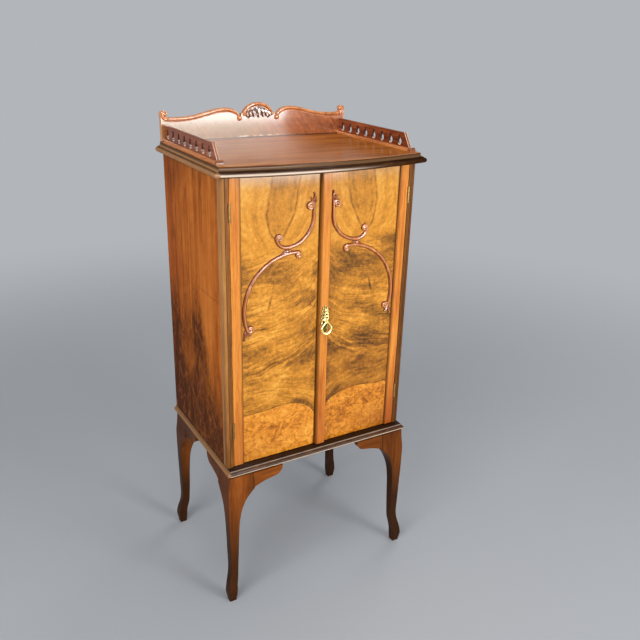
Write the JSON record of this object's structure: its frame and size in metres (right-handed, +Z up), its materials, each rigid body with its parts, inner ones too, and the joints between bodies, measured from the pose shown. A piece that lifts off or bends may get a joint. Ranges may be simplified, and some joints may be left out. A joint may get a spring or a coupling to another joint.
{
  "type": "music cabinet",
  "caption": "Tall two-door music cabinet on cabriole legs, with a bowed top, a low pierced gallery, carved scrolls on the doors, inside shelves and a drop handle",
  "frame": {"origin": "on the floor, under the middle of the top board", "axes": "+Z up, doors face -Y, +X to the right of someone who faces the doors"},
  "size_m": [0.51, 0.387, 1.133],
  "materials": {
    "figured_veneer": "figured walnut veneer, french polished",
    "straight_grain": "straight-grained walnut, french polished",
    "case_wood": "brown walnut, french polished",
    "leg_wood": "brown walnut, french polished",
    "carved_wood": "carved walnut, french polished",
    "gallery_wood": "walnut, french polished",
    "inside_wood": "plain wood, oiled",
    "brass": "cast and rolled brass, worn",
    "steel": "plain steel"
  },
  "bodies": {
    "carcase": {"back_boards": "inside_wood", "base_board": "case_wood", "bearer_screws": "steel", "carcase_bottom": "inside_wood", "carcase_top": "inside_wood", "front_stile_left": "case_wood", "front_stile_right": "case_wood", "gallery_arch": "gallery_wood", "gallery_back_board": "gallery_wood", "gallery_crest": "carved_wood", "gallery_fret_left": "gallery_wood", "gallery_fret_right": "gallery_wood", "gallery_moulding_left": "gallery_wood", "gallery_moulding_right": "gallery_wood", "gallery_rail_left": "gallery_wood", "gallery_rail_right": "gallery_wood", "hinge_leaves_carcase_left": "brass", "hinge_leaves_carcase_right": "brass", "hinge_pins": "brass", "hinge_screws_carcase": "steel", "knee_brackets_back_left": "leg_wood", "knee_brackets_back_right": "leg_wood", "knee_brackets_front_left": "leg_wood", "knee_brackets_front_right": "leg_wood", "leg_back_left": "leg_wood", "leg_back_right": "leg_wood", "leg_dowels": "inside_wood", "leg_front_left": "leg_wood", "leg_front_right": "leg_wood", "shelf_1": "inside_wood", "shelf_2": "inside_wood", "shelf_3": "inside_wood", "shelf_4": "inside_wood", "shelf_bearers_left": "inside_wood", "shelf_bearers_right": "inside_wood", "side_panel_left": "case_wood", "side_panel_right": "case_wood", "top_board": "case_wood", "top_screws": "steel"},
    "left_door": {"left_door_hinge_leaves": "brass", "left_door_hinge_screws": "steel", "left_door_hinge_strip": "straight_grain", "left_door_lower_scroll": "carved_wood", "left_door_panel": "figured_veneer", "left_door_upper_scroll": "carved_wood", "strike_plate": "brass", "bolt_plates": "brass"},
    "right_door": {"right_door_centre_strip": "straight_grain", "right_door_hinge_leaves": "brass", "right_door_hinge_screws": "steel", "right_door_hinge_strip": "straight_grain", "right_door_lower_scroll": "carved_wood", "right_door_panel": "figured_veneer", "right_door_upper_scroll": "carved_wood", "lock_case": "brass", "handle_backplate": "brass"},
    "top_bolt": {"top_bolt": "brass"},
    "bottom_bolt": {"bottom_bolt": "brass"},
    "lock_bolt": {"lock_bolt": "brass"},
    "handle_drop": {"handle_drop": "brass"}
  },
  "joints": [
    {"name": "left_door_hinge", "type": "hinge", "parent": "carcase", "child": "left_door", "pos_m": [-0.22025, -0.1495, 0.7], "axis": [0, 0, -1], "range_deg": [0, 165]},
    {"name": "right_door_hinge", "type": "hinge", "parent": "carcase", "child": "right_door", "pos_m": [0.22025, -0.1495, 0.7], "axis": [0, 0, 1], "range_deg": [0, 165]},
    {"name": "handle_swing", "type": "hinge", "parent": "right_door", "child": "handle_drop", "pos_m": [0.0065, -0.163, 0.686], "axis": [-1, 0, 0], "range_deg": [0, 100]},
    {"name": "lock_bolt_slide", "type": "slide", "parent": "right_door", "child": "lock_bolt", "axis": [-1, 0, 0], "range_m": [0, 0.008]},
    {"name": "top_bolt_slide", "type": "slide", "parent": "left_door", "child": "top_bolt", "axis": [0, 0, 1], "range_m": [0, 0.01]},
    {"name": "bottom_bolt_slide", "type": "slide", "parent": "left_door", "child": "bottom_bolt", "axis": [0, 0, -1], "range_m": [0, 0.01]}
  ]
}
